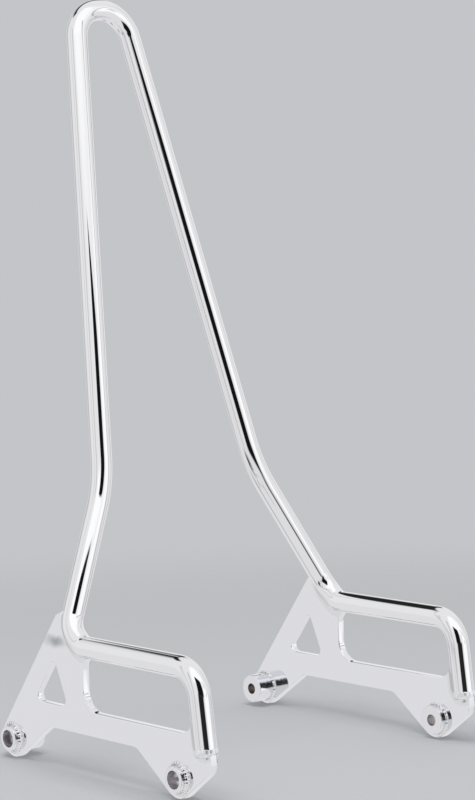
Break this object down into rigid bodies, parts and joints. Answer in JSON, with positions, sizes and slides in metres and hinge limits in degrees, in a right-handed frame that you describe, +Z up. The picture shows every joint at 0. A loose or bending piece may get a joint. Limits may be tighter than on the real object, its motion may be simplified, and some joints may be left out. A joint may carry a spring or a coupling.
{
  "type": "sissy bar",
  "caption": "Tall narrow hoop of bent round bar with short side rails, welded to flat cut-out side plates with bolt bosses, as a backrest behind a motorbike seat.",
  "frame": {"origin": "under the middle of the object, level with the lowest points of the side plates", "axes": "+X to the right, +Y forward as on the motorbike, +Z up"},
  "size_m": [0.2676, 0.2662, 0.5656],
  "materials": {
    "chrome": "polished chrome plate"
  },
  "bodies": {
    "root": {"front_boss_left": "chrome", "front_boss_right": "chrome", "front_boss_weld_inner_left": "chrome", "front_boss_weld_inner_right": "chrome", "front_boss_weld_outer_left": "chrome", "front_boss_weld_outer_right": "chrome", "front_seam_weld_inner_left": "chrome", "front_seam_weld_inner_right": "chrome", "front_seam_weld_outer_left": "chrome", "front_seam_weld_outer_right": "chrome", "hoop_bar": "chrome", "rear_boss_left": "chrome", "rear_boss_right": "chrome", "rear_boss_weld_inner_left": "chrome", "rear_boss_weld_inner_right": "chrome", "rear_boss_weld_outer_left": "chrome", "rear_boss_weld_outer_right": "chrome", "rear_seam_weld_inner_left": "chrome", "rear_seam_weld_inner_right": "chrome", "rear_seam_weld_outer_left": "chrome", "rear_seam_weld_outer_right": "chrome", "side_plate_left": "chrome", "side_plate_right": "chrome"}
  },
  "joints": []
}
